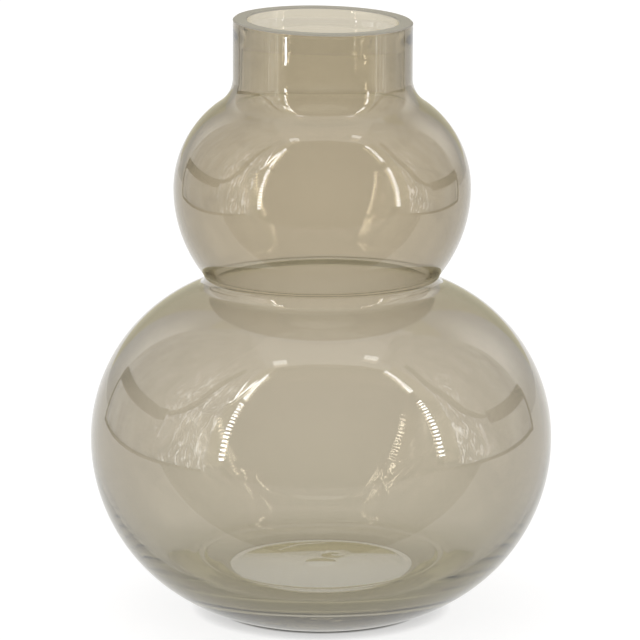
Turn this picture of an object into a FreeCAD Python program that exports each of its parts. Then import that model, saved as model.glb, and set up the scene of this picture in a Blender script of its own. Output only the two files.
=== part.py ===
import FreeCAD, Part
import math
import os
import Sketcher

# Gourd vase of mould-blown glass: one continuous wall that runs from a ground rim down a short neck,
# round a small bulb, through an open waist, round a large bulb and into a thick base with a shallow kick-up.
# It is turned about the Z axis, and its origin is the middle of the foot, on the surface that it stands on.

# Driving sizes in millimetres. Radii are those of the arcs that the section of the wall is drawn with.
SIZES = {
    # lower bulb, outside
    "lower_diameter": 193.0,
    "lower_shoulder_radius": 69.4,
    "lower_belly_radius": 76.0,
    # foot, outside
    "foot_diameter": 77.8,
    "foot_edge_radius": 13.0,
    "foot_ring_width": 2.5,
    "kick_up_radius": 450.0,
    "pontil_diameter": 14.0,
    "pontil_depth": 0.6,
    # waist, outside
    "waist_diameter": 98.2,
    "waist_crease_radius": 4.3,
    # upper bulb, outside
    "upper_diameter": 123.6,
    "upper_shoulder_radius": 43.3,
    "upper_belly_radius": 57.0,
    # neck, outside
    "neck_diameter": 74.4,
    "neck_root_radius": 13.1,
    "neck_length": 24.8,
    # glass thickness of the bulbs, and of the neck just under its lip
    "bulb_wall": 3.2,
    "neck_wall": 4.1,
    # lip, which is thicker than the neck below it
    "lip_thickness": 5.8,
    "lip_height": 2.4,
    "lip_taper_height": 2.2,
    "lip_blend_radius": 1.5,
    "rim_bevel": 0.6,
    # inside of the base: the wall thickens downwards along the inner belly's arc, and the bowl meets a flat floor
    "inner_belly_radius": 66.0,
    "bowl_radius": 20.0,
    "floor_height": 19.0,
}

# An edge is picked when it lies this near to its computed place, as a share of the lower bulb's diameter
PICK_SHARE = 1e-6


def point(x, y):
    return FreeCAD.Vector(x, y, 0)


def above(centre, reach, x):
    """The point over centre that lies at radius x, at the distance reach from centre."""
    return point(x, centre.y + math.sqrt(reach**2 - (x - centre.x) ** 2))


def below(centre, reach, x):
    """The point under centre that lies at radius x, at the distance reach from centre."""
    return point(x, centre.y - math.sqrt(reach**2 - (x - centre.x) ** 2))


def toward(start, goal, distance):
    """The point at a distance from start on the way to goal."""
    return start + (goal - start).normalize() * distance


def cap_centre(half_width, height, top):
    """Centre, on the axis, of a shallow arc of this half width and height, with its middle at top."""
    return point(0, top - (half_width**2 + height**2) / (2 * height))


def tangent_point(centre, radius, outside):
    """Where a line from a point outside touches a circle, on the side that faces the axis."""
    away = outside - centre
    angle = math.atan2(away.y, away.x) + math.acos(radius / away.Length)
    return centre + point(math.cos(angle), math.sin(angle)) * radius


def section_places(size):
    """Centres of the arcs and corners of the wall's section, worked out from the driving sizes."""
    at = {}
    lower_radius = size["lower_diameter"] / 2
    upper_radius = size["upper_diameter"] / 2
    neck_radius = size["neck_diameter"] / 2
    foot_radius = size["foot_diameter"] / 2
    foot_inner = foot_radius - size["foot_ring_width"]
    belly, shoulder = size["lower_belly_radius"], size["lower_shoulder_radius"]
    upper_belly, upper_shoulder = size["upper_belly_radius"], size["upper_shoulder_radius"]
    crease, root, wall = size["waist_crease_radius"], size["neck_root_radius"], size["bulb_wall"]

    # outside, from the foot up
    at["foot_edge"] = point(foot_radius, size["foot_edge_radius"])
    at["lower_belly"] = above(at["foot_edge"], belly - size["foot_edge_radius"], lower_radius - belly)
    level = at["lower_belly"].y
    at["lower_shoulder"] = point(lower_radius - shoulder, level)
    at["waist"] = above(at["lower_shoulder"], shoulder + crease, size["waist_diameter"] / 2 + crease)
    at["upper_belly"] = above(at["waist"], upper_belly + crease, upper_radius - upper_belly)
    upper_level = at["upper_belly"].y
    at["upper_shoulder"] = point(upper_radius - upper_shoulder, upper_level)
    at["neck"] = above(at["upper_shoulder"], upper_shoulder + root, neck_radius + root)
    rim_height = at["neck"].y + size["neck_length"]

    at["foot_inner"] = point(foot_inner, 0)
    at["foot_outer"] = point(foot_radius, 0)
    at["heel"] = toward(at["lower_belly"], at["foot_edge"], belly)
    at["lower_widest"] = point(lower_radius, level)
    at["waist_below"] = toward(at["lower_shoulder"], at["waist"], shoulder)
    at["waist_above"] = toward(at["upper_belly"], at["waist"], upper_belly)
    at["upper_widest"] = point(upper_radius, upper_level)
    at["neck_below"] = toward(at["upper_shoulder"], at["neck"], upper_shoulder)
    at["neck_root"] = point(neck_radius, at["neck"].y)
    at["rim_outer"] = point(neck_radius, rim_height)

    # inside, from the rim down
    at["rim_inner"] = point(neck_radius - size["lip_thickness"], rim_height)
    at["lip_low"] = at["rim_inner"] - point(0, size["lip_height"])
    at["bore_top"] = point(neck_radius - size["neck_wall"], at["lip_low"].y - size["lip_taper_height"])
    at["bore_root"] = tangent_point(at["neck"], root + wall, at["bore_top"])
    at["neck_inside"] = toward(at["upper_shoulder"], at["neck"], upper_shoulder - wall)
    at["upper_inside"] = point(upper_radius - wall, upper_level)
    at["waist_inside_above"] = toward(at["upper_belly"], at["waist"], upper_belly - wall)
    at["waist_inside_below"] = toward(at["lower_shoulder"], at["waist"], shoulder - wall)
    at["lower_inside"] = point(lower_radius - wall, level)
    inner_belly, bowl_level = size["inner_belly_radius"], size["floor_height"] + size["bowl_radius"]
    at["inner_belly"] = point(lower_radius - wall - inner_belly, level)
    bowl_reach = math.sqrt((inner_belly - size["bowl_radius"]) ** 2 - (level - bowl_level) ** 2)
    at["bowl"] = point(at["inner_belly"].x + bowl_reach, bowl_level)
    at["bowl_top"] = toward(at["inner_belly"], at["bowl"], inner_belly)
    at["floor_edge"] = point(at["bowl"].x, size["floor_height"])
    at["floor_middle"] = point(0, size["floor_height"])

    # underside
    at["kick_dome"] = below(point(0, 0), math.sqrt(size["kick_up_radius"] ** 2 - foot_inner**2), 0)
    at["pontil_edge"] = above(at["kick_dome"], size["kick_up_radius"], size["pontil_diameter"] / 2)
    at["pontil_middle"] = point(0, at["pontil_edge"].y + size["pontil_depth"])
    at["pontil_dome"] = cap_centre(size["pontil_diameter"] / 2, size["pontil_depth"], at["pontil_middle"].y)
    return at


def start(edge):
    """The start of an edge of a sketch. An arc starts where it sets off to the left."""
    return (edge, 1)


def end(edge):
    return (edge, 2)


def centre(edge):
    return (edge, 3)


class Outline:
    """A closed outline in a sketch, drawn edge by edge from one corner to the next."""

    def __init__(self, sketch, start):
        self.sketch = sketch
        self.at = start
        self.first = None
        self.last = None

    def join(self, entry, leave, smooth):
        """Ties the place where an edge is entered to where the one before was left, tangent if smooth."""
        if self.last is None:
            self.first = entry
        else:
            self.tie("Tangent" if smooth else "Coincident", self.last, entry)
        self.last = leave

    def line(self, goal, smooth=False):
        edge = self.sketch.addGeometry(Part.LineSegment(self.at, goal))
        self.join(start(edge), end(edge), smooth)
        self.at = goal
        return edge

    def arc(self, middle, goal, left_turn, smooth=True):
        """An arc about middle that turns left, which is counterclockwise, or right."""
        circle = Part.Circle(middle, FreeCAD.Vector(0, 0, 1), (self.at - middle).Length)
        angles = [math.atan2(corner.y - middle.y, corner.x - middle.x) for corner in (self.at, goal)]
        if not left_turn:
            angles.reverse()
        edge = self.sketch.addGeometry(Part.ArcOfCircle(circle, *angles))
        ends = (start(edge), end(edge)) if left_turn else (end(edge), start(edge))
        self.join(*ends, smooth)
        self.at = goal
        return edge

    def close(self):
        self.tie("Coincident", self.last, self.first)

    def tie(self, kind, *places):
        """A relation between places or edges that has no size of its own."""
        self.sketch.addConstraint(Sketcher.Constraint(kind, *sum(places, ())))

    def stand(self, place):
        """Holds a place on the surface that the vessel stands on."""
        self.tie("PointOnObject", place, (-1,))

    def centre_on_axis(self, place):
        """Holds a place on the axis of turning."""
        self.tie("PointOnObject", place, (-2,))

    def drive(self, name, kind, places, value, expression):
        """A dimension of the outline that starts at value and follows an expression of the sizes."""
        index = self.sketch.addConstraint(Sketcher.Constraint(kind, *sum(places, ()), value))
        self.sketch.renameConstraint(index, name)
        self.sketch.setExpression(f"Constraints.{name}", expression)

    def measure(self, name, kind, *places):
        """A dimension of the outline that follows the size of the same name."""
        self.drive(name, kind, places, SIZES[name], f"Sizes.{name}")

    def reach(self, name, place, value, expression):
        """How far a place lies from the axis."""
        self.drive(name, "DistanceX", ((-1, 1), place), value, expression)

    def measure_half(self, name, place):
        """How far a place lies from the axis: half of the size of this name."""
        self.reach(name, place, SIZES[name] / 2, f"Sizes.{name} / 2")


def add_sheet(document):
    """The spreadsheet of driving sizes: names in column A, and plain numbers with those aliases in B."""
    sheet = document.addObject("Spreadsheet::Sheet", "Sizes")
    for row, (name, size) in enumerate(SIZES.items(), start=1):
        sheet.set(f"A{row}", name)
        sheet.set(f"B{row}", str(size))
        sheet.setAlias(f"B{row}", name)
    document.recompute()
    return sheet


def add_sketch(body, name):
    """A sketch on the body's own upright plane: across is the radius, up is the height."""
    plane = next(face for face in body.Origin.OriginFeatures if face.Role == "XZ_Plane")
    sketch = body.newObject("Sketcher::SketchObject", name)
    sketch.AttachmentSupport = [(plane, "")]
    sketch.MapMode = "FlatFace"
    return sketch


def turn(body, kind, name, sketch):
    """A full turn of a sketch about its upright axis, adding glass or taking it away."""
    feature = body.newObject(kind, name)
    feature.Profile = sketch
    feature.ReferenceAxis = (sketch, ["V_Axis"])
    feature.Angle = 360
    sketch.Document.recompute()
    return feature


def ring_edges(shape, corners):
    """Names of the circular edges of a turned shape that pass through these corners of its section."""
    reach = SIZES["lower_diameter"] * PICK_SHARE
    names = []
    for number, edge in enumerate(shape.Edges, start=1):
        if edge.Degenerated or not isinstance(edge.Curve, Part.Circle):
            continue
        place = point(edge.Curve.Radius, edge.Curve.Center.z)
        if any((place - corner).Length < reach for corner in corners):
            names.append(f"Edge{number}")
    return names


def draw_section(body, at):
    """The section of the glass as one closed outline: down the outside, over the foot and up the inside."""
    outline = Outline(add_sketch(body, "wall_section"), at["rim_outer"])
    neck = outline.line(at["neck_root"])
    neck_arc = outline.arc(at["neck"], at["neck_below"], left_turn=True)
    upper_shoulder = outline.arc(at["upper_shoulder"], at["upper_widest"], left_turn=False)
    upper_belly = outline.arc(at["upper_belly"], at["waist_above"], left_turn=False)
    crease = outline.arc(at["waist"], at["waist_below"], left_turn=True)
    lower_shoulder = outline.arc(at["lower_shoulder"], at["lower_widest"], left_turn=False)
    lower_belly = outline.arc(at["lower_belly"], at["heel"], left_turn=False)
    foot_edge = outline.arc(at["foot_edge"], at["foot_outer"], left_turn=False)
    foot = outline.line(at["foot_inner"], smooth=True)
    kick_up = outline.arc(at["kick_dome"], at["pontil_edge"], left_turn=True, smooth=False)
    pontil = outline.arc(at["pontil_dome"], at["pontil_middle"], left_turn=True, smooth=False)
    middle = outline.line(at["floor_middle"])
    floor = outline.line(at["floor_edge"])
    bowl = outline.arc(at["bowl"], at["bowl_top"], left_turn=True)
    inner_belly = outline.arc(at["inner_belly"], at["lower_inside"], left_turn=True)
    lower_inside = outline.arc(at["lower_shoulder"], at["waist_inside_below"], left_turn=True)
    waist_inside = outline.arc(at["waist"], at["waist_inside_above"], left_turn=False)
    belly_inside = outline.arc(at["upper_belly"], at["upper_inside"], left_turn=True)
    shoulder_inside = outline.arc(at["upper_shoulder"], at["neck_inside"], left_turn=True)
    root_inside = outline.arc(at["neck"], at["bore_root"], left_turn=False)
    bore = outline.line(at["bore_top"], smooth=True)
    taper = outline.line(at["lip_low"])
    lip = outline.line(at["rim_inner"])
    rim = outline.line(at["rim_outer"])
    outline.close()

    # neck and lip
    outline.tie("Vertical", (neck,))
    outline.tie("Vertical", (lip,))
    outline.tie("Horizontal", (rim,))
    outline.measure_half("neck_diameter", end(neck))
    outline.measure("neck_length", "DistanceY", end(neck), start(neck))
    outline.measure("neck_wall", "DistanceX", end(bore), end(rim))
    outline.measure("lip_thickness", "DistanceX", start(rim), end(rim))
    outline.measure("lip_height", "DistanceY", start(lip), end(lip))
    outline.measure("lip_taper_height", "DistanceY", start(taper), end(taper))

    # bulbs and waist, outside: the arcs of a bulb meet where it is widest
    outline.tie("Horizontal", centre(upper_shoulder), start(upper_shoulder))
    outline.tie("Horizontal", centre(lower_shoulder), start(lower_shoulder))
    outline.measure_half("upper_diameter", start(upper_shoulder))
    outline.measure_half("lower_diameter", start(lower_shoulder))
    outline.measure("neck_root_radius", "Radius", (neck_arc,))
    outline.measure("upper_shoulder_radius", "Radius", (upper_shoulder,))
    outline.measure("upper_belly_radius", "Radius", (upper_belly,))
    outline.measure("waist_crease_radius", "Radius", (crease,))
    outline.measure("lower_shoulder_radius", "Radius", (lower_shoulder,))
    outline.measure("lower_belly_radius", "Radius", (lower_belly,))
    crease_reach = "Sizes.waist_diameter / 2 + Sizes.waist_crease_radius"
    outline.reach("crease_reach", centre(crease), at["waist"].x, crease_reach)

    # foot, kick-up and pontil mark
    outline.stand(start(foot))
    outline.stand(end(foot))
    outline.centre_on_axis(centre(kick_up))
    outline.centre_on_axis(centre(pontil))
    outline.centre_on_axis(start(middle))
    outline.centre_on_axis(end(middle))
    outline.measure_half("foot_diameter", start(foot))
    outline.measure_half("pontil_diameter", start(pontil))
    outline.measure("foot_edge_radius", "Radius", (foot_edge,))
    outline.measure("foot_ring_width", "DistanceX", end(foot), start(foot))
    outline.measure("kick_up_radius", "Radius", (kick_up,))
    outline.measure("pontil_depth", "DistanceY", start(pontil), end(pontil))

    # inside of the wall: each inner arc shares the centre of the outer arc that it follows
    for inner, outer in (
        (lower_inside, lower_shoulder),
        (waist_inside, crease),
        (belly_inside, upper_belly),
        (shoulder_inside, upper_shoulder),
        (root_inside, neck_arc),
    ):
        outline.tie("Coincident", centre(inner), centre(outer))
    outline.measure("bulb_wall", "DistanceX", start(lower_inside), start(lower_shoulder))

    # inside of the base
    outline.tie("Horizontal", centre(lower_inside), start(lower_inside))
    outline.tie("Horizontal", (floor,))
    outline.measure("inner_belly_radius", "Radius", (inner_belly,))
    outline.measure("bowl_radius", "Radius", (bowl,))
    outline.measure("floor_height", "DistanceY", start(foot), end(floor))
    return outline.sketch


def blow_glass(document):
    """The vessel: the section turned about its axis, its inner edges softened and its rim ground."""
    at = section_places(SIZES)
    body = document.addObject("PartDesign::Body", "glass_body")
    body.Label = "glass_body"
    wall = turn(body, "PartDesign::Revolution", "blown_wall", draw_section(body, at))

    lip = body.newObject("PartDesign::Fillet", "lip_blend")
    lip.Base = (wall, ring_edges(wall.Shape, [at["lip_low"], at["bore_top"]]))
    lip.setExpression("Radius", "Sizes.lip_blend_radius")
    document.recompute()

    rim = body.newObject("PartDesign::Chamfer", "ground_rim")
    rim.Base = (lip, ring_edges(lip.Shape, [at["rim_outer"], at["rim_inner"]]))
    rim.setExpression("Size", "Sizes.rim_bevel")
    body.Tip = rim
    document.recompute()
    base = at["floor_middle"].y - at["pontil_middle"].y
    print(f"height {at['rim_outer'].y:.3f} mm, base {base:.3f} mm thick")
    return body


def check(document, bodies):
    """Stops if any object of the document failed, or if a body's shape is missing or broken."""
    for item in document.Objects:
        if "Invalid" in item.State or "Error" in item.State:
            raise RuntimeError(f"{item.Label} failed: {item.State}")
    for body in bodies:
        if body.Shape.isNull() or not body.Shape.isValid() or len(body.Shape.Solids) != 1:
            raise RuntimeError(f"{body.Label} is not one sound solid")


document = FreeCAD.newDocument("gourd_vase")
add_sheet(document)
bodies = [blow_glass(document)]
check(document, bodies)
os.makedirs("parts", exist_ok=True)
for body in bodies:
    body.Shape.exportStep(f"parts/{body.Label}.step")
    box = body.Shape.BoundBox
    print(f"{body.Label}: {box.XLength:.2f} x {box.YLength:.2f} x {box.ZLength:.2f} mm")
    print(f"{body.Label}: {body.Shape.Volume:.0f} mm3")
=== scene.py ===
import math

import bpy
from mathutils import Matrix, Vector, noise


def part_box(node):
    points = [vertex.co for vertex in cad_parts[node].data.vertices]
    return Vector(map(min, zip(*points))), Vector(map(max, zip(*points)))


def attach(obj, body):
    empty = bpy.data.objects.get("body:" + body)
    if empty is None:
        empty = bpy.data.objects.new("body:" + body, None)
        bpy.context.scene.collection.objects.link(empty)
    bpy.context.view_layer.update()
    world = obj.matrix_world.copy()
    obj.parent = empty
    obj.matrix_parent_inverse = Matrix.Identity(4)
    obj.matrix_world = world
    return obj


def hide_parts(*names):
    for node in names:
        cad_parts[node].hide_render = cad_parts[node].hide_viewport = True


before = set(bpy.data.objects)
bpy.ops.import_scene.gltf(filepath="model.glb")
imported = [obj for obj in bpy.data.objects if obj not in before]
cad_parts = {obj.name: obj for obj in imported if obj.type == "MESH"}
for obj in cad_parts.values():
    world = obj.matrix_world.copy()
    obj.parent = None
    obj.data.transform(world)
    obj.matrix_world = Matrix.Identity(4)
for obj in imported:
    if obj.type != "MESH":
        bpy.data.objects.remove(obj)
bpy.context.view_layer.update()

# The gourd vase is one piece of mould-blown glass. It is turned here as a dense smooth mesh over the CAD
# solid's own section, with the smoke coat outside, the clear inside and the ground rim as its three finishes.

MM = 0.001

# Sizes of the glass in millimetres, read from the frame where it gives them
low_corner, high_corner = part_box("glass_body")
LOWER_RADIUS = (high_corner.x - low_corner.x) / 2 / MM
RIM_HEIGHT = high_corner.z / MM
LOWER_SHOULDER = 69.4
LOWER_BELLY = 76.0
FOOT_RADIUS = 38.9
FOOT_EDGE = 13.0
FOOT_RING_WIDTH = 2.5
KICK_UP_RADIUS = 450.0
PONTIL_RADIUS = 7.0
PONTIL_DEPTH = 0.6
WAIST_RADIUS = 49.1
WAIST_CREASE = 4.3
UPPER_RADIUS = 61.8
UPPER_SHOULDER = 43.3
UPPER_BELLY = 57.0
NECK_RADIUS = 37.2
NECK_ROOT = 13.1
BULB_WALL = 3.2
NECK_WALL = 4.1
LIP_THICKNESS = 5.8
LIP_HEIGHT = 2.4
LIP_TAPER = 2.2
RIM_BEVEL = 0.6
# The lip starts to thin out this far above its height, and reaches the neck's wall this far below its taper
LIP_WAVE_START = 0.9
LIP_WAVE_RUN = 7.0
INNER_BELLY = 66.0
BOWL_RADIUS = 20.0
FLOOR_HEIGHT = 19.0

# How fine the glass is meshed: parts of a turn, and the longest step along the section in millimetres
SEGMENTS = 192
ARC_STEP = 1.8
LINE_STEP = 3.0
CORNER_STEP = 1.0
LIP_WAVE_STEPS = 16


def at_height_over(centre, reach, x):
    """The point over centre at radius x, at the distance reach from it."""
    return Vector((x, centre.y + math.sqrt(reach**2 - (x - centre.x) ** 2)))


def at_height_under(centre, reach, x):
    """The point under centre at radius x, at the distance reach from it."""
    return Vector((x, centre.y - math.sqrt(reach**2 - (x - centre.x) ** 2)))


def toward(start, goal, distance):
    """The point at a distance from start on the way to goal."""
    return start + (goal - start).normalized() * distance


def cap_centre(half_width, height, top):
    """Centre, on the axis, of a shallow arc of this half width and height, with its middle at top."""
    return Vector((0, top - (half_width**2 + height**2) / (2 * height)))


class Section:
    """Half of the glass cut open: points (radius, height) in millimetres, and the finish of each stretch."""

    def __init__(self, start):
        self.points = [start]
        self.finishes = []
        self.corners = [0]

    def add(self, points, finish, corner=False):
        self.points += points
        self.finishes += [finish] * len(points)
        if corner:
            self.corners.append(len(self.points) - 1)

    def line(self, goal, finish, step=LINE_STEP, corner=False):
        start = self.points[-1]
        count = max(1, math.ceil((goal - start).length / step))
        self.add([start.lerp(goal, i / count) for i in range(1, count + 1)], finish, corner)

    def arc(self, centre, goal, finish, left_turn, step=ARC_STEP, corner=False):
        """An arc about centre that turns left, which is counterclockwise, or right."""
        start = self.points[-1] - centre
        end = goal - centre
        first = math.atan2(start.y, start.x)
        sweep = math.atan2(end.y, end.x) - first
        if left_turn and sweep < 0:
            sweep += 2 * math.pi
        if not left_turn and sweep > 0:
            sweep -= 2 * math.pi
        count = max(3, math.ceil(abs(sweep) * start.length / step))
        angles = [first + sweep * i / count for i in range(1, count + 1)]
        radius = start.length
        self.add([centre + Vector((math.cos(a), math.sin(a))) * radius for a in angles], finish, corner)


# The finishes, by their place among the mesh's materials
SMOKED, CLEAR, GROUND = 0, 1, 2


def glass_section():
    """The section of the wall, from the middle of the underside out, up the outside and down the inside."""
    foot_edge = Vector((FOOT_RADIUS, FOOT_EDGE))
    foot_inner = FOOT_RADIUS - FOOT_RING_WIDTH
    lower_belly = at_height_over(foot_edge, LOWER_BELLY - FOOT_EDGE, LOWER_RADIUS - LOWER_BELLY)
    level = lower_belly.y
    lower_shoulder = Vector((LOWER_RADIUS - LOWER_SHOULDER, level))
    waist = at_height_over(lower_shoulder, LOWER_SHOULDER + WAIST_CREASE, WAIST_RADIUS + WAIST_CREASE)
    upper_belly = at_height_over(waist, UPPER_BELLY + WAIST_CREASE, UPPER_RADIUS - UPPER_BELLY)
    upper_level = upper_belly.y
    upper_shoulder = Vector((UPPER_RADIUS - UPPER_SHOULDER, upper_level))
    neck = at_height_over(upper_shoulder, UPPER_SHOULDER + NECK_ROOT, NECK_RADIUS + NECK_ROOT)
    kick_dome = at_height_under(Vector((0, 0)), math.sqrt(KICK_UP_RADIUS**2 - foot_inner**2), 0)
    pontil_edge = at_height_over(kick_dome, KICK_UP_RADIUS, PONTIL_RADIUS)
    pontil_middle = Vector((0, pontil_edge.y + PONTIL_DEPTH))
    pontil_dome = cap_centre(PONTIL_RADIUS, PONTIL_DEPTH, pontil_middle.y)

    section = Section(pontil_middle)
    section.arc(pontil_dome, pontil_edge, CLEAR, False, corner=True)
    section.arc(kick_dome, Vector((foot_inner, 0)), CLEAR, False, corner=True)
    section.line(Vector((FOOT_RADIUS, 0)), CLEAR, CORNER_STEP)
    section.arc(foot_edge, toward(lower_belly, foot_edge, LOWER_BELLY), SMOKED, True, CORNER_STEP)
    section.arc(lower_belly, Vector((LOWER_RADIUS, level)), SMOKED, True)
    section.arc(lower_shoulder, toward(lower_shoulder, waist, LOWER_SHOULDER), SMOKED, True)
    section.arc(waist, toward(upper_belly, waist, UPPER_BELLY), SMOKED, False, 0.5 * CORNER_STEP)
    section.arc(upper_belly, Vector((UPPER_RADIUS, upper_level)), SMOKED, True)
    section.arc(upper_shoulder, toward(upper_shoulder, neck, UPPER_SHOULDER), SMOKED, True)
    section.arc(neck, Vector((NECK_RADIUS, neck.y)), SMOKED, False, CORNER_STEP)
    section.line(Vector((NECK_RADIUS, RIM_HEIGHT - RIM_BEVEL)), SMOKED, corner=True)
    section.line(Vector((NECK_RADIUS - RIM_BEVEL, RIM_HEIGHT)), GROUND, corner=True)
    inner_radius = NECK_RADIUS - LIP_THICKNESS
    section.line(Vector((inner_radius + RIM_BEVEL, RIM_HEIGHT)), GROUND, 0.6 * CORNER_STEP, corner=True)
    section.line(Vector((inner_radius, RIM_HEIGHT - RIM_BEVEL)), GROUND, corner=True)

    # the lip runs into the bore in one smooth wave
    lip_low = RIM_HEIGHT - LIP_HEIGHT
    section.line(Vector((inner_radius, lip_low + LIP_WAVE_START)), CLEAR, 0.5 * CORNER_STEP)
    wave = section.points[-1]
    drop = wave.y - (lip_low - LIP_TAPER) + LIP_WAVE_RUN
    for i in range(1, LIP_WAVE_STEPS + 1):
        share = i / LIP_WAVE_STEPS
        ease = share * share * (3 - 2 * share)
        radius = wave.x + (NECK_RADIUS - NECK_WALL - wave.x) * ease
        section.add([Vector((radius, wave.y - drop * share))], CLEAR)
    away = section.points[-1] - neck
    angle = math.atan2(away.y, away.x) + math.acos((NECK_ROOT + BULB_WALL) / away.length)
    root = neck + Vector((math.cos(angle), math.sin(angle))) * (NECK_ROOT + BULB_WALL)
    section.line(root, CLEAR)
    section.arc(neck, toward(upper_shoulder, neck, UPPER_SHOULDER - BULB_WALL), CLEAR, True, CORNER_STEP)
    section.arc(upper_shoulder, Vector((UPPER_RADIUS - BULB_WALL, upper_level)), CLEAR, False)
    section.arc(upper_belly, toward(upper_belly, waist, UPPER_BELLY - BULB_WALL), CLEAR, False)
    inner_waist = toward(lower_shoulder, waist, LOWER_SHOULDER - BULB_WALL)
    section.arc(waist, inner_waist, CLEAR, True, 0.8 * CORNER_STEP)
    section.arc(lower_shoulder, Vector((LOWER_RADIUS - BULB_WALL, level)), CLEAR, False)
    inner_belly = Vector((LOWER_RADIUS - BULB_WALL - INNER_BELLY, level))
    bowl_level = FLOOR_HEIGHT + BOWL_RADIUS
    reach = math.sqrt((INNER_BELLY - BOWL_RADIUS) ** 2 - (level - bowl_level) ** 2)
    bowl = Vector((inner_belly.x + reach, bowl_level))
    away = (bowl - inner_belly).normalized()
    section.arc(inner_belly, inner_belly + away * INNER_BELLY, CLEAR, False)
    section.arc(bowl, Vector((bowl.x, FLOOR_HEIGHT)), CLEAR, False, 0.8 * CORNER_STEP)
    section.line(Vector((0, FLOOR_HEIGHT)), CLEAR, 0.6 * CORNER_STEP)
    return section


# Where the real vase leaves the true turned form, in millimetres: the neck leans a little to the right, and
# the rim, ground by hand, is lower on that side
LEAN = 0.8
RIM_SLOPE = math.tan(math.radians(1.3))
LEAN_FROM = 73.0
NECK_FROM = 222.0
# The inside of blown glass is never quite even: its waves are this deep and this long above the base
WAVE_DEPTH = 0.10
WAVE_LENGTH = 38.0
WAVES_FROM = 30.0
# How near its height a place has to be to lie on the floor
ON_FLOOR = 1e-3

# Marks on the floor inside, in millimetres and degrees: rings where the glass chilled against the plunger.
# Each is (radius, height, half width, from angle, to angle).
FLOOR_RINGS = (
    (50.2, -0.42, 0.9, -180, 180),
    (52.0, 0.16, 0.8, -180, 180),
    (38.9, -0.22, 1.0, 0, 180),
    (19.5, -0.14, 1.3, 75, 160),
    (16.8, 0.10, 1.1, 80, 150),
)
# The twist of the last gather, a little off the middle: a low hump with a spiral on it
TWIST_MIDDLE = Vector((5.0, -0.5))
TWIST_RADIUS = 6.5
TWIST_HEIGHT, SPIRAL_HEIGHT = 0.35, 0.25
SPIRAL_TURN = 2.4
FLOOR_WAVE_DEPTH, FLOOR_WAVE_LENGTH = 0.06, 11.0


def floor_relief(place):
    """How much higher than flat the floor is at a place."""
    radius = math.hypot(place.x, place.y)
    angle = math.degrees(math.atan2(place.y, place.x))
    height = 0.0
    for middle, rise, half_width, first, last in FLOOR_RINGS:
        fade = 1.0
        if last - first < 360:
            share = (angle - first) / (last - first)
            fade = math.sin(math.pi * share) ** 0.5 if 0 < share < 1 else 0.0
        height += rise * fade * math.exp(-(((radius - middle) / half_width) ** 2))
    away = Vector((place.x, place.y)) - TWIST_MIDDLE
    if away.length < 2 * TWIST_RADIUS:
        turn = math.atan2(away.y, away.x)
        spiral = math.sin(turn - SPIRAL_TURN * away.length / TWIST_RADIUS * math.pi / 2)
        hump = math.exp(-((away.length / (0.6 * TWIST_RADIUS)) ** 2))
        height += (TWIST_HEIGHT + SPIRAL_HEIGHT * spiral) * hump
    height += FLOOR_WAVE_DEPTH * noise.noise(place / FLOOR_WAVE_LENGTH)
    return height


def hand_of_the_maker(place, finish):
    """Moves a place of the true form to where the blown and ground glass has it, in millimetres."""
    moved = place.copy()
    if finish == CLEAR and abs(place.z - FLOOR_HEIGHT) < ON_FLOOR:
        moved.z += floor_relief(place)
    if finish == CLEAR and place.z > WAVES_FROM:
        outward = Vector((place.x, place.y, 0))
        if outward.length > 1:
            wave = noise.noise(place / WAVE_LENGTH)
            moved += outward.normalized() * wave * WAVE_DEPTH
    if place.z > NECK_FROM:
        share = (place.z - NECK_FROM) / (RIM_HEIGHT - NECK_FROM)
        moved.z -= RIM_SLOPE * (place.x + NECK_RADIUS) * min(share, 1.0)
    if place.z > LEAN_FROM:
        moved.x += LEAN * (place.z - LEAN_FROM) / (RIM_HEIGHT - LEAN_FROM)
    return moved


def turn_glass(section):
    """A closed mesh of the section turned about the axis, with a finish for each ring of faces."""
    points = section.points
    finish_of = [section.finishes[0]] + section.finishes
    places = []
    rings = []
    for point, finish in zip(points, finish_of):
        if point.x < 1e-6:
            rings.append([len(places)])
            places.append(hand_of_the_maker(Vector((0, 0, point.y)), finish) * MM)
            continue
        ring = []
        for i in range(SEGMENTS):
            angle = 2 * math.pi * i / SEGMENTS
            place = Vector((point.x * math.cos(angle), point.x * math.sin(angle), point.y))
            ring.append(len(places))
            places.append(hand_of_the_maker(place, finish) * MM)
        rings.append(ring)
    faces = []
    finishes = []
    for below, above, finish in zip(rings, rings[1:], section.finishes):
        for i in range(SEGMENTS):
            j = (i + 1) % SEGMENTS
            if len(below) == 1:
                face = [below[0], above[j], above[i]]
            elif len(above) == 1:
                face = [below[i], below[j], above[0]]
            else:
                face = [below[i], below[j], above[j], above[i]]
            faces.append(face)
            finishes.append(finish)
    mesh = bpy.data.meshes.new("blown_glass")
    mesh.from_pydata(places, [], faces)
    mesh.polygons.foreach_set("material_index", finishes)
    mesh.polygons.foreach_set("use_smooth", [True] * len(faces))
    mesh.update()
    sharp = set()
    for corner in section.corners[1:]:
        ring = rings[corner]
        sharp |= {frozenset((ring[i], ring[(i + 1) % SEGMENTS])) for i in range(SEGMENTS)}
    for edge in mesh.edges:
        if frozenset(edge.vertices) in sharp:
            edge.use_edge_sharp = True
    return mesh


def linear(code):
    """A colour for a shader, made from its sRGB hex code."""
    parts = [int(code[i : i + 2], 16) / 255 for i in (1, 3, 5)]
    return tuple(c / 12.92 if c <= 0.04045 else ((c + 0.055) / 1.055) ** 2.4 for c in parts) + (1.0,)


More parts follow.
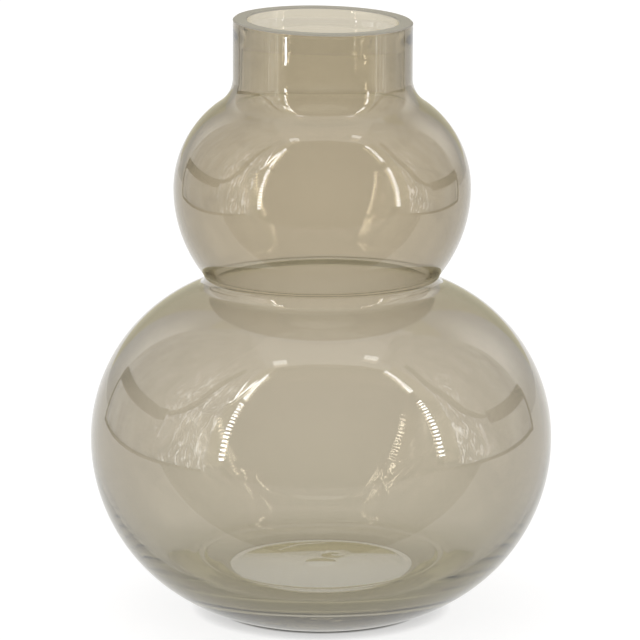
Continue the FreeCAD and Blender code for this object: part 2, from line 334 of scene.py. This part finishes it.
def add_node(tree, kind, inputs=None, **settings):
    """Adds a node to a tree, with its settings, and with inputs that are values or other nodes' sockets."""
    node = tree.nodes.new(kind)
    for name, setting in settings.items():
        setattr(node, name, setting)
    for name, value in (inputs or {}).items():
        if isinstance(value, bpy.types.NodeSocket):
            tree.links.new(value, node.inputs[name])
        else:
            node.inputs[name].default_value = value
    return node


def new_material(name):
    """An empty material, and its node tree."""
    material = bpy.data.materials.new(name)
    material.use_nodes = True
    material.node_tree.nodes.clear()
    return material, material.node_tree


GLASS_IOR = 1.52


def glass(name, colour, roughness):
    """Soda-lime glass, which light takes a little colour from wherever it goes in or out."""
    material, tree = new_material(name)
    shader = add_node(
        tree,
        "ShaderNodeBsdfPrincipled",
        {"Base Color": linear(colour), "Roughness": roughness, "IOR": GLASS_IOR, "Transmission Weight": 1.0},
    )
    add_node(tree, "ShaderNodeOutputMaterial", {"Surface": shader.outputs[0]})
    return material, tree, shader


# The smoke coat from the foot up, with the heights in millimetres between which each shade takes over
# at the foot the tone is a little darker and greener than just above it
FOOT_TONE = "#B8B19D"
COAT_BELOW = "#BFB5A1"
COAT_STEPS = (
    ((15.0, 75.0), COAT_BELOW),
    ((105.0, 150.0), "#B8AB92"),
    ((203.0, 225.0), "#B1A489"),
)
# How slanting light has to be for the coat's deepest tone, and what share of it then comes through
COAT_SLANT, COAT_EDGE_ON = 0.8, 0.36


def smoked_glass():
    """Soda-lime glass with a taupe smoke coat sprayed on its outside, denser from the waist up. The eye gets
    a warm grey see-through body, sharp bright reflections, and sides that darken as the wall turns away."""
    material, tree, shader = glass("smoked_soda_lime_glass", COAT_BELOW, 0.0)
    place = add_node(tree, "ShaderNodeTexCoord")
    height = add_node(tree, "ShaderNodeSeparateXYZ", {0: place.outputs["Object"]})
    shades = linear(FOOT_TONE)
    for (first, last), shade in COAT_STEPS:
        rise = add_node(
            tree,
            "ShaderNodeMapRange",
            {"Value": height.outputs["Z"], "From Min": first * MM, "From Max": last * MM},
            interpolation_type="SMOOTHSTEP",
        )
        inputs = {"Factor": rise.outputs[0], "A": shades, "B": linear(shade)}
        shades = add_node(tree, "ShaderNodeMix", inputs, data_type="RGBA").outputs["Result"]
    # the flatter light crosses the coat, the longer its way through the smoke
    edge_on = add_node(tree, "ShaderNodeLayerWeight", {"Blend": 0.5}).outputs["Facing"]
    slant = add_node(
        tree,
        "ShaderNodeMapRange",
        {"Value": edge_on, "From Max": COAT_SLANT, "To Min": 1.0, "To Max": COAT_EDGE_ON},
    )
    deeper = add_node(tree, "ShaderNodeVectorMath", {0: shades, "Scale": slant.outputs[0]}, operation="SCALE")
    tree.links.new(deeper.outputs[0], shader.inputs["Base Color"])
    return material


def clear_glass():
    """Fire-polished glass of the inside and the foot, without the coat. The eye gets a second, fainter set of
    sharp reflections just behind the first."""
    return glass("clear_fire_polished_glass", "#FDFDFC", 0.0)[0]


# Size of the pits that grinding leaves on the rim. Real ones are finer, and these are as coarse as they need
# to be to show.
GRIND_GRAIN = 0.5 * MM
GRIND_DEPTH = 0.1 * MM
GRIND_ROUGHNESS = 0.5
GRIND_CLEARNESS = 0.25


def ground_rim_glass():
    """The lip's cut face, ground flat with grit and left matt. The eye gets a pale dull ring with fine grain
    on it."""
    material, tree, shader = glass("ground_glass_rim", "#AFAA9E", GRIND_ROUGHNESS)
    shader.inputs["Transmission Weight"].default_value = GRIND_CLEARNESS
    place = add_node(tree, "ShaderNodeTexCoord").outputs["Object"]
    grain = add_node(tree, "ShaderNodeTexNoise", {"Vector": place, "Scale": 1 / GRIND_GRAIN, "Detail": 2.0})
    inputs = {"Strength": 0.5, "Distance": GRIND_DEPTH, "Height": grain.outputs["Fac"]}
    pits = add_node(tree, "ShaderNodeBump", inputs)
    tree.links.new(pits.outputs[0], shader.inputs["Normal"])
    return material


vase = bpy.data.objects.new("blown_glass_vase", turn_glass(glass_section()))
bpy.context.scene.collection.objects.link(vase)
for finish in (smoked_glass(), clear_glass(), ground_rim_glass()):
    vase.data.materials.append(finish)
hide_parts("glass_body")
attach(vase, "root")

# The studio: a pale table in a white surround, and round the vase a photographer's light tent, which only
# reflections in the glass show. Lengths from here on are in metres.


def eyes(tree):
    """1 for what the camera, a reflection or a look through glass sees, and 0 for light that falls on it."""
    path = add_node(tree, "ShaderNodeLightPath")
    seen = add_node(
        tree,
        "ShaderNodeMath",
        {0: path.outputs["Is Camera Ray"], 1: path.outputs["Is Glossy Ray"]},
        operation="ADD",
    )
    return add_node(
        tree,
        "ShaderNodeMath",
        {0: seen.outputs[0], 1: path.outputs["Is Transmission Ray"]},
        operation="ADD",
        use_clamp=True,
    ).outputs[0]


WHITE = (1, 1, 1, 1)
WORLD_LEVEL = 0.8
world = bpy.data.worlds.new("white_surround")
bpy.context.scene.world = world
world.use_nodes = True
world.node_tree.nodes.clear()
tree = world.node_tree
dim = add_node(tree, "ShaderNodeBackground", {"Color": WHITE, "Strength": WORLD_LEVEL})
white = add_node(tree, "ShaderNodeBackground", {"Color": WHITE, "Strength": 1.0})
mix = add_node(tree, "ShaderNodeMixShader", {0: eyes(tree), 1: dim.outputs[0], 2: white.outputs[0]})
add_node(tree, "ShaderNodeOutputWorld", {"Surface": mix.outputs[0]})


def stage_mesh(name, places, faces, material):
    """A mesh of the studio, which isn't part of the vase."""
    mesh = bpy.data.meshes.new(name)
    mesh.from_pydata([Vector(place) for place in places], [], faces)
    mesh.materials.append(material)
    thing = bpy.data.objects.new(name, mesh)
    bpy.context.scene.collection.objects.link(thing)
    return thing


# Light that goes to and fro in the thick glass isn't followed to the end of its way: from its second turn on,
# which is a Glossy Depth above SECOND_TURN, it finds one warm mean tone, that of the room or of the table
MEAN_TONE, TABLE_MEAN_TONE = 0.56, 0.82
WARM = linear("#FFFBE2")
SECOND_TURN = 1.5

# The table's own glow, and the shade painted into it close to the glass: how far each shade reaches, and how
# much of it shows through the base and in front
TABLE_GLOW = 0.85
SHADE_REACH, CONTACT_REACH = 0.005, 0.001
SHADE_THROUGH_GLASS, SHADE_IN_FRONT = 0.18, 0.38
SHADE_SAMPLES = 8


def table_white():
    """White laminate, lit from all round; what is seen of it glows a little, so that it comes out white. The
    eye gets a plain white ground with a soft thin shade at the foot, partly cast and partly painted into
    the glow."""
    material, tree = new_material("white_table")
    diffuse = add_node(tree, "ShaderNodeBsdfDiffuse", {"Color": linear("#8F8E8C")})
    # close to the glass the glow is darkened too, a painted shade: much as the camera sees it, and a little
    # through the base
    path = add_node(tree, "ShaderNodeLightPath")
    by_camera = path.outputs["Is Camera Ray"]
    closed, touching = (
        add_node(tree, "ShaderNodeAmbientOcclusion", {"Distance": far}, samples=SHADE_SAMPLES).outputs["AO"]
        for far in (SHADE_REACH, CONTACT_REACH)
    )
    deepest = add_node(
        tree,
        "ShaderNodeMapRange",
        {"Value": by_camera, "To Min": SHADE_THROUGH_GLASS, "To Max": SHADE_IN_FRONT},
    )
    lost = add_node(tree, "ShaderNodeMath", {0: 1.0, 1: deepest.outputs[0]}, operation="SUBTRACT")
    shade = add_node(tree, "ShaderNodeMapRange", {"Value": closed, "To Min": lost.outputs[0], "To Max": 1.0})
    away = add_node(tree, "ShaderNodeMath", {0: 1.0, 1: by_camera}, operation="SUBTRACT")
    gap = add_node(tree, "ShaderNodeMath", {0: touching, 1: away.outputs[0]}, operation="ADD", use_clamp=True)
    closer = add_node(tree, "ShaderNodeMath", {0: shade.outputs[0], 1: gap.outputs[0]}, operation="MULTIPLY")
    level = add_node(tree, "ShaderNodeMath", {0: closer.outputs[0], 1: TABLE_GLOW}, operation="MULTIPLY")
    glow = add_node(tree, "ShaderNodeMath", {0: eyes(tree), 1: level.outputs[0]}, operation="MULTIPLY")
    emission = add_node(tree, "ShaderNodeEmission", {"Color": WHITE, "Strength": glow.outputs[0]})
    both = add_node(tree, "ShaderNodeAddShader", {0: diffuse.outputs[0], 1: emission.outputs[0]})
    turns = path.outputs["Glossy Depth"]
    turned = add_node(tree, "ShaderNodeMath", {0: turns, 1: SECOND_TURN}, operation="GREATER_THAN")
    mean = add_node(tree, "ShaderNodeEmission", {"Color": WARM, "Strength": TABLE_MEAN_TONE})
    surface = add_node(
        tree, "ShaderNodeMixShader", {0: turned.outputs[0], 1: both.outputs[0], 2: mean.outputs[0]}
    )
    add_node(tree, "ShaderNodeOutputMaterial", {"Surface": surface.outputs[0]})
    return material


def level_square(reach, front, back, z):
    """Corners of a level rectangle, reach to both sides."""
    return [(-reach, front, z), (reach, front, z), (reach, back, z), (-reach, back, z)]


# A hair of air stays between table and glass, as it does under a real foot
TABLE_TOP = -0.05 * MM
TABLE_REACH = 6.0
table = level_square(TABLE_REACH, -TABLE_REACH, TABLE_REACH, TABLE_TOP)
stage_mesh("table", table, [range(4)], table_white())


def reflected_only(name, once, again=None, colour=WHITE):
    """Light for rays that the glass has turned back: once gives the radiance for one turn, and again for
    more. All others pass through, and so do rays of more turns if again is left out."""
    material, tree = new_material(name)
    turns = add_node(tree, "ShaderNodeLightPath").outputs["Glossy Depth"]
    one = add_node(tree, "ShaderNodeMath", {0: turns, 1: 1.0, 2: 0.1}, operation="COMPARE").outputs[0]
    more = add_node(tree, "ShaderNodeMath", {0: turns, 1: SECOND_TURN}, operation="GREATER_THAN").outputs[0]
    first = add_node(tree, "ShaderNodeMath", {0: one, 1: once}, operation="MULTIPLY")
    strength = add_node(
        tree, "ShaderNodeMath", {0: more, 1: again or 0.0, 2: first.outputs[0]}, operation="MULTIPLY_ADD"
    )
    shown = one
    if again is not None:
        shown = add_node(tree, "ShaderNodeMath", {0: one, 1: more}, operation="ADD").outputs[0]
    nothing = add_node(tree, "ShaderNodeBsdfTransparent")
    light = add_node(tree, "ShaderNodeEmission", {"Color": colour, "Strength": strength.outputs[0]})
    mix = add_node(tree, "ShaderNodeMixShader", {0: shown, 1: nothing.outputs[0], 2: light.outputs[0]})
    add_node(tree, "ShaderNodeOutputMaterial", {"Surface": mix.outputs[0]})
    material.cycles.emission_sampling = "NONE"
    return material, tree, first


def tent_piece(name, places, faces, material):
    """A piece of the tent or the room, which throws no shadow and shows to no direct look."""
    piece = stage_mesh(name, places, faces, material)
    piece.visible_camera = False
    piece.visible_diffuse = False
    piece.visible_shadow = False


def sheet(name, corner, along, up, material):
    """A flat four-cornered tent piece."""
    corner, along, up = Vector(corner), Vector(along), Vector(up)
    tent_piece(name, [corner, corner + along, corner + along + up, corner + up], [range(4)], material)


def ribbon(name, line, width, side, material):
    """A tent piece of even width along a line of places, spread to both sides along the direction side."""
    half = Vector(side).normalized() * width / 2
    places = []
    for place in line:
        places += [Vector(place) - half, Vector(place) + half]
    faces = [(i, i + 1, i + 3, i + 2) for i in range(0, len(places) - 2, 2)]
    tent_piece(name, places, faces, material)


LINE_PARTS = 8


def smooth_line(points):
    """Places on a smooth line through the points."""
    points = [Vector(p) for p in points]
    padded = [2 * points[0] - points[1]] + points + [2 * points[-1] - points[-2]]
    line = []
    for a, b, c, d in zip(padded, padded[1:], padded[2:], padded[3:]):
        for i in range(LINE_PARTS):
            t = i / LINE_PARTS
            bend, turn = a * 2 - b * 5 + c * 4 - d, b * 3 - a - c * 3 + d
            line.append((b * 2 + (c - a) * t + bend * t**2 + turn * t**3) / 2)
    return line + [points[-1]]


# How bright the reflections find each piece of the studio, where 1 is white. The crumples' tones are added to
# the creases', and the board's, in its middle, to the room's.
DARK_ROOM_TONE = 0.10
CEILING_TONE = 1.25
ROOM_TONE = 0.8
# the table in front, in painted shade, as reflections show it
SHADED_TABLE_TONE = 0.4
CREASE_TONES = (0.7, 1.2)
CRUMPLE_TONES = (0.0, 5.0)
# the painted shade in the gaps of the tent
GAP_SHADE_TONE = 0.05
LAMP_TONE = 22.0
LIT_FOLD_TONE = 18.0
SOFT_LAMP_TONE = 5.5
BOARD_TONE = 0.95

# The tent: its opening towards the camera, with the dark room behind it, and its bright ceiling
TENT_FRONT = -0.50
TENT_TOP = 1.90
OPENING_LEFT, OPENING_RIGHT = -0.535, 0.86
dark_room = reflected_only("dark_room_beyond_the_tent", DARK_ROOM_TONE)[0]
opening_width = (OPENING_RIGHT - OPENING_LEFT, 0, 0)
sheet("tent_opening", (OPENING_LEFT, TENT_FRONT, 0.0), opening_width, (0, 0, TENT_TOP), dark_room)
ceiling_cloth = reflected_only("tent_ceiling_cloth", CEILING_TONE)[0]
sheet("tent_ceiling", (-0.8, TENT_FRONT, TENT_TOP), (1.75, 0, 0), (0, 1.25, 0), ceiling_cloth)

# The room behind and above the tent, an even pale grey in the reflections
ROOM_REACH = 3.0
ROOM_FLOOR = 0.001
corners = level_square(ROOM_REACH, -ROOM_REACH, ROOM_REACH, ROOM_FLOOR)
corners += level_square(ROOM_REACH, -ROOM_REACH, ROOM_REACH, 2 * ROOM_REACH)
room = reflected_only("room_beyond_the_tent", ROOM_TONE, MEAN_TONE, WARM)[0]
tent_piece("room", corners, [(4, 5, 6, 7), (0, 1, 5, 4), (1, 2, 6, 5), (2, 3, 7, 6), (3, 0, 4, 7)], room)

# The table in front of the vase as the reflections show it, painted darker as shade under the tent's opening
TABLE_SHOWN_TO = -0.12
shaded_table_in_reflections = reflected_only("shaded_table_in_reflections", SHADED_TABLE_TONE)[0]
table_front = level_square(ROOM_REACH, -ROOM_REACH, TABLE_SHOWN_TO, 2 * ROOM_FLOOR)
tent_piece("shaded_table_seen_in_reflections", table_front, [range(4)], shaded_table_in_reflections)

# Folds to the metre along x, y and z in the tent's side walls: creases about 70 mm across and 230 mm high,
# and crumples about 50 mm across and 125 mm high where the cloth is gathered
CREASES = (2.0, 14.0, 4.4)
CRUMPLES = (1.6, 20.8, 8.0)


def creased_cloth():
    """White nylon of the tent's walls. Its folds give the reflections soft grey streaks, painted shade and
    light, and its crumples near the front and low down bright ragged ones, painted highlights where the lamp
    strips light the cloth."""
    material, tree, level = reflected_only("tent_wall_creased_cloth", 1.0)
    position = add_node(tree, "ShaderNodeNewGeometry").outputs["Position"]

    def folds(to_the_metre, settings):
        stretch = add_node(tree, "ShaderNodeVectorMath", {0: position, 1: to_the_metre}, operation="MULTIPLY")
        inputs = {"Vector": stretch.outputs[0], "Scale": 1.0, **settings}
        return add_node(tree, "ShaderNodeTexNoise", inputs).outputs["Fac"]

    def ramp(value, start, end, low=0.0, high=1.0):
        inputs = {"Value": value, "From Min": start, "From Max": end, "To Min": low, "To Max": high}
        return add_node(tree, "ShaderNodeMapRange", inputs).outputs[0]

    creases = folds(CREASES, {"Detail": 4.0, "Roughness": 0.6})
    tone = ramp(creases, 0.35, 0.7, *CREASE_TONES)
    # painted highlights: the crumples near the front and low down, by the lamp strips, glow bright
    crumples = folds(CRUMPLES, {"Detail": 5.0, "Roughness": 0.65, "Distortion": 1.2})
    bright = ramp(crumples, 0.52, 0.66, *CRUMPLE_TONES)
    depth = add_node(tree, "ShaderNodeSeparateXYZ", {0: position})
    front = ramp(depth.outputs["Y"], 0.02, -0.25)
    low = ramp(depth.outputs["Z"], 1.1, 0.7)
    near = add_node(tree, "ShaderNodeMath", {0: front, 1: low}, operation="MULTIPLY")
    inputs = {0: near.outputs[0], 1: bright, 2: tone}
    lit = add_node(tree, "ShaderNodeMath", inputs, operation="MULTIPLY_ADD")
    tree.links.new(lit.outputs[0], level.inputs[1])
    return material


WALL = 0.72
wall_cloth = creased_cloth()
sheet("tent_wall_left", (-WALL, TENT_FRONT, 0), (0, 1.17, 0), (0, 0, TENT_TOP), wall_cloth)
sheet("tent_wall_right", (WALL + 0.02, -0.30, 0), (0, 0.80, 0), (0, 0, TENT_TOP), wall_cloth)

# Painted shade: dark lines in the gaps at the edges of the tent's panels, along the foot of each wall, then
# up near the front
gap_shade = reflected_only("painted_shade_in_tent_gaps", GAP_SHADE_TONE)[0]
GAP_SHADE_WIDTH = 0.08
PROUD = 0.01
LEFT_BAND = ((0.67, 0.27), (0.1, 0.28), (-0.07, 0.31), (-0.22, 0.47), (-0.27, 0.73), (-0.32, 1.3))
RIGHT_BAND = ((0.5, 0.21), (0.2, 0.22), (0.0, 0.25), (-0.14, 0.36), (-0.2, 0.55), (-0.24, 0.8), (-0.18, 1.22))
for side, x, band in (("left", PROUD - WALL, LEFT_BAND), ("right", WALL - PROUD, RIGHT_BAND)):
    line = smooth_line([(x, y, z) for y, z in band])
    rise_from = 2 * LINE_PARTS
    ribbon(f"tent_gap_shade_{side}", line[: rise_from + 1], GAP_SHADE_WIDTH, (0, 0, 1), gap_shade)
    ribbon(f"tent_gap_shade_{side}_rise", line[rise_from:], GAP_SHADE_WIDTH * 0.7, (0, 1, 0), gap_shade)
# painted shade in the back corners, and along the foot of each wall where it meets the table
sheet("tent_corner_shade_left", (-WALL, 0.66, 0), (0, 0.04, 0), (0, 0, 0.3), gap_shade)
sheet("tent_corner_shade_right", (WALL, 0.49, 0), (0, 0.04, 0), (0, 0, 0.22), gap_shade)
sheet("tent_foot_shade_left", (PROUD - WALL, -0.45, 0.002), (0, 1.12, 0), (0, 0, 0.02), gap_shade)
sheet("tent_foot_shade_right", (WALL - PROUD, -0.45, 0.002), (0, 0.95, 0), (0, 0, 0.02), gap_shade)

# Strips of small lamps, one every pitch, and the share of the pitch that each takes up
STRIP_WIDTH = 0.041
LAMP_PITCH = 0.034
LAMP_SHARE = 0.45


def lamp_strip(name, x, y, low, high, material):
    """An upright strip of small lamps."""
    across = Vector((-y, x, 0)).normalized() * STRIP_WIDTH / 2
    rise = Vector((0, 0, LAMP_PITCH * LAMP_SHARE))
    places = []
    faces = []
    z = low
    while z < high:
        first = len(places)
        here = Vector((x, y, z))
        places += [here - across, here + across, here + across + rise, here - across + rise]
        faces.append(range(first, first + 4))
        z += LAMP_PITCH
    tent_piece(name, places, faces, material)


lamps = reflected_only("lamp_strip_light", LAMP_TONE)[0]
for name, x, y, low, high in (
    ("lamp_strip_left_low", -0.52, -0.49, 0.12, 0.66),
    ("lamp_strip_left_high", -0.52, -0.49, 0.71, 1.34),
    ("lamp_strip_right_low", 0.69, -0.425, 0.12, 0.68),
    ("lamp_strip_right_high", 0.69, -0.425, 0.84, 1.50),
):
    lamp_strip(name, x, y, low, high, lamps)

# Folds of the cloth beside the left strip, which catch its light: (x, z) along each
FOLD_WIDTH = 0.022
lit_fold = reflected_only("tent_cloth_lit_from_close_by", LIT_FOLD_TONE)[0]
for name, line in (
    ("fold_along", ((-0.69, 0.72), (-0.64, 0.79), (-0.58, 0.97), (-0.53, 1.15))),
    ("fold_outer", ((-0.66, 0.80), (-0.69, 1.00), (-0.735, 1.25))),
    ("fold_inner", ((-0.61, 0.84), (-0.60, 1.00), (-0.585, 1.17))),
):
    places = smooth_line([(x, TENT_FRONT + PROUD, z) for x, z in line])
    ribbon(name, places, FOLD_WIDTH, (1, 0, 0), lit_fold)

# Soft lamps just under the ceiling
soft_lamp = reflected_only("soft_ceiling_lamp", SOFT_LAMP_TONE)[0]
sheet("ceiling_lamp_left", (-0.60, -0.44, 1.88), (0.18, 0, 0), (0, 0.11, 0), soft_lamp)
sheet("ceiling_lamp_right", (0.50, -0.30, 1.88), (0.18, 0, 0), (0, 0.11, 0), soft_lamp)


def bounce_board():
    """White foam board that sends light back, brightest in its middle. The eye gets a soft pale sheen on the
    shoulders of both bulbs, without an edge."""
    material, tree, level = reflected_only("white_bounce_board", 1.0)
    place = add_node(tree, "ShaderNodeTexCoord").outputs["Generated"]
    spot = add_node(tree, "ShaderNodeSeparateXYZ", {0: place})
    middle = []
    for axis in "XZ":
        off = add_node(tree, "ShaderNodeMath", {0: spot.outputs[axis], 1: 0.5}, operation="SUBTRACT")
        far_off = add_node(tree, "ShaderNodeMath", {0: off.outputs[0]}, operation="ABSOLUTE")
        fade = add_node(
            tree,
            "ShaderNodeMapRange",
            {"Value": far_off.outputs[0], "From Min": 0.5, "From Max": 0.08},
            interpolation_type="SMOOTHSTEP",
        )
        middle.append(fade.outputs[0])
    glare = add_node(tree, "ShaderNodeMath", {0: middle[0], 1: middle[1]}, operation="MULTIPLY")
    inputs = {0: glare.outputs[0], 1: BOARD_TONE, 2: ROOM_TONE}
    tone = add_node(tree, "ShaderNodeMath", inputs, operation="MULTIPLY_ADD")
    tree.links.new(tone.outputs[0], level.inputs[1])
    return material


# The boards stand behind the vase to both sides
board = bounce_board()
sheet("bounce_board_left", (-2.0, 0.5, 0.05), (1.3, 0.85, 0), (0, 0, 1.7), board)
sheet("bounce_board_right", (2.0, 0.5, 0.05), (-1.3, 0.85, 0), (0, 0, 1.7), board)

# A weak soft lamp overhead, which gives the ground rim and the table some light and shows in nothing
SOFTBOX_PLACE = (-0.25, -0.1, 1.6)
SOFTBOX_SIZE = (1.2, 1.0)
SOFTBOX_WATTS = 3.0
light = bpy.data.lights.new("overhead_softbox", "AREA")
light.shape = "RECTANGLE"
light.size, light.size_y = SOFTBOX_SIZE
light.energy = SOFTBOX_WATTS
softbox = bpy.data.objects.new("overhead_softbox", light)
softbox.location = SOFTBOX_PLACE
softbox.rotation_euler = (-softbox.location).to_track_quat("-Z", "Y").to_euler()
softbox.visible_camera = False
softbox.visible_glossy = False
softbox.visible_transmission = False
bpy.context.scene.collection.objects.link(softbox)

# The camera: a long lens from the front, a little above the vase
PICTURE_SIDE = 640
CAMERA_DISTANCE = 2.2
CAMERA_ELEVATION = math.radians(12.655)
AIM = Vector((0, 0, 0.125))
PIXELS_PER_METRE = 2398
AIM_IN_PICTURE = (321.05, 316.0)

data = bpy.data.cameras.new("camera")
data.sensor_width = 36.0
data.lens = data.sensor_width * PIXELS_PER_METRE * CAMERA_DISTANCE / PICTURE_SIDE
data.shift_x = (PICTURE_SIDE / 2 - AIM_IN_PICTURE[0]) / PICTURE_SIDE
data.shift_y = (AIM_IN_PICTURE[1] - PICTURE_SIDE / 2) / PICTURE_SIDE
camera = bpy.data.objects.new("camera", data)
away = Vector((0, -math.cos(CAMERA_ELEVATION), math.sin(CAMERA_ELEVATION)))
camera.location = AIM + away * CAMERA_DISTANCE
camera.rotation_euler = (-away).to_track_quat("-Z", "Y").to_euler()
bpy.context.scene.collection.objects.link(camera)
bpy.context.scene.camera = camera

bpy.context.scene.view_settings.view_transform = "Standard"

# Light goes to and fro many times inside the thick base before it comes out
LIGHT_BOUNCES = 128
cycles = bpy.context.scene.cycles
cycles.max_bounces = cycles.glossy_bounces = cycles.transmission_bounces = LIGHT_BOUNCES
